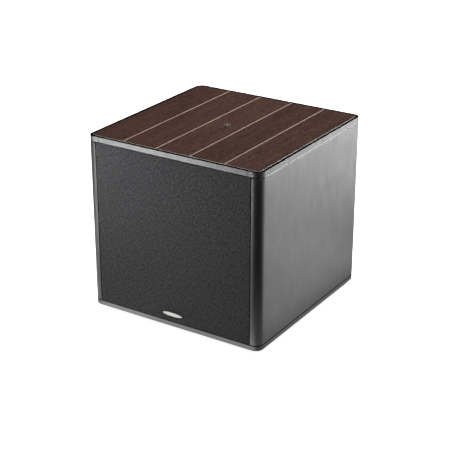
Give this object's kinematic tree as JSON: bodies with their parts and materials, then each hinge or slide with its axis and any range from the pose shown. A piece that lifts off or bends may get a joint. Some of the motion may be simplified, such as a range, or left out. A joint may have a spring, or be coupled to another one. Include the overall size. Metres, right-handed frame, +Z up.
{
  "type": "subwoofer",
  "caption": "Near-cube powered subwoofer with rounded upright corners, wrapped sides, an inlaid wooden top, a cloth grille over a front-firing driver and a rear plate amplifier.",
  "frame": {"origin": "on the floor under the middle of the cabinet", "axes": "+Z up, the grille faces -Y, +X is to the right of a person facing the grille from the front"},
  "size_m": [0.4, 0.4063, 0.3815],
  "materials": {
    "black_board": "satin black paint over fibreboard",
    "leather": "black leather-look wrap, fine grain, satin",
    "lacquer": "black lacquer, glossy",
    "trim": "polished metal line",
    "dark_wood": "dark stained veneer, satin lacquer",
    "light_wood": "light inlay",
    "disc_metal": "satin",
    "rubber": "matte",
    "screw_steel": "blackened",
    "grille_plastic": "moulded",
    "cloth": "stretched grille cloth, charcoal",
    "badge_metal": "satin",
    "cast_alloy": "powder-coated casting",
    "foam": "open-cell foam",
    "roll_rubber": "satin",
    "pulp": "pressed fibre cone",
    "coil_alloy": "bright foil",
    "copper": "enamelled wire",
    "spider_cloth": "resin-dipped cloth",
    "motor_steel": "black passivated",
    "ferrite": "matte ceramic",
    "brass": "bare",
    "wire_jacket": "insulated wire",
    "amp_paint": "fine-texture black powder coat",
    "bare_alloy": "extruded",
    "circuit": "green solder mask",
    "winding_tape": "taped winding",
    "can_sleeve": "printed sleeve, plain",
    "knob_plastic": "moulded",
    "shaft_alloy": "turned",
    "switch_plastic": "moulded",
    "rocker_plastic": "moulded",
    "pin_metal": "nickel plated",
    "clear_glass": "clear tube",
    "lens": "tinted lens"
  },
  "bodies": {
    "cabinet": {"left_side_wall": "black_board", "right_side_wall": "black_board", "left_side_cover": "leather", "right_side_cover": "leather", "bottom_panel": "black_board", "top_panel": "black_board", "back_panel": "black_board", "front_baffle": "black_board", "cross_brace": "black_board", "damping_foam": "foam", "bottom_frame": "lacquer", "top_frame": "lacquer", "top_frame_front_bar": "lacquer", "top_trim_ring": "trim", "top_wood_panel": "dark_wood", "top_inlay_strips": "light_wood", "top_disc": "disc_metal", "feet": "rubber", "foot_screws": "screw_steel", "grille_cups": "rubber", "driver_basket": "cast_alloy", "foam_gaskets": "foam", "driver_screws": "screw_steel", "motor_top_plate": "motor_steel", "motor_magnet": "ferrite", "pole_yoke": "motor_steel", "terminal_board": "switch_plastic", "terminal_tabs": "brass", "speaker_wires": "wire_jacket", "amp_plate": "amp_paint", "amp_plate_screws": "screw_steel", "heat_sink": "bare_alloy", "circuit_board": "circuit", "transformer": "winding_tape", "filter_capacitors": "can_sleeve", "potentiometers": "shaft_alloy", "input_jacks": "brass", "power_switch_housing": "switch_plastic", "phase_switch_housing": "switch_plastic", "inlet_socket": "switch_plastic", "inlet_pins": "pin_metal", "status_lens": "lens"},
    "grille": {"grille_frame": "grille_plastic", "grille_cloth": "cloth", "grille_pegs": "grille_plastic", "badge": "badge_metal"},
    "cone_assembly": {"cone": "pulp", "dust_cap": "pulp", "coil_former": "coil_alloy", "coil_winding": "copper", "surround": "roll_rubber", "spider": "spider_cloth"},
    "volume_control": {"volume_knob": "knob_plastic", "volume_shaft": "shaft_alloy"},
    "crossover_control": {"crossover_knob": "knob_plastic", "crossover_shaft": "shaft_alloy"},
    "power_switch": {"power_rocker": "rocker_plastic"},
    "phase_switch": {"phase_slider": "rocker_plastic"},
    "fuse_carrier": {"fuse_drawer": "switch_plastic", "fuse": "clear_glass"}
  },
  "joints": [
    {"name": "grille_pull", "type": "slide", "parent": "cabinet", "child": "grille", "axis": [0, -1, 0], "range_m": [0, 0.06]},
    {"name": "cone_travel", "type": "slide", "parent": "cabinet", "child": "cone_assembly", "axis": [0, -1, 0], "range_m": [-0.01, 0.01], "stiffness_N_per_m": 3700, "deforming": ["surround", "spider"]},
    {"name": "volume_turn", "type": "hinge", "parent": "cabinet", "child": "volume_control", "pos_m": [0.07, 0.199, 0.285], "axis": [0, 1, 0], "range_deg": [-150, 150]},
    {"name": "crossover_turn", "type": "hinge", "parent": "cabinet", "child": "crossover_control", "pos_m": [0.03, 0.199, 0.285], "axis": [0, 1, 0], "range_deg": [-150, 150]},
    {"name": "power_rock", "type": "hinge", "parent": "cabinet", "child": "power_switch", "pos_m": [-0.04, 0.191, 0.112], "axis": [1, 0, 0], "range_deg": [0, 16]},
    {"name": "phase_slide", "type": "slide", "parent": "cabinet", "child": "phase_switch", "axis": [1, 0, 0], "range_m": [0, 0.004]},
    {"name": "fuse_pull", "type": "slide", "parent": "cabinet", "child": "fuse_carrier", "axis": [0, 1, 0], "range_m": [0, 0.02]}
  ]
}
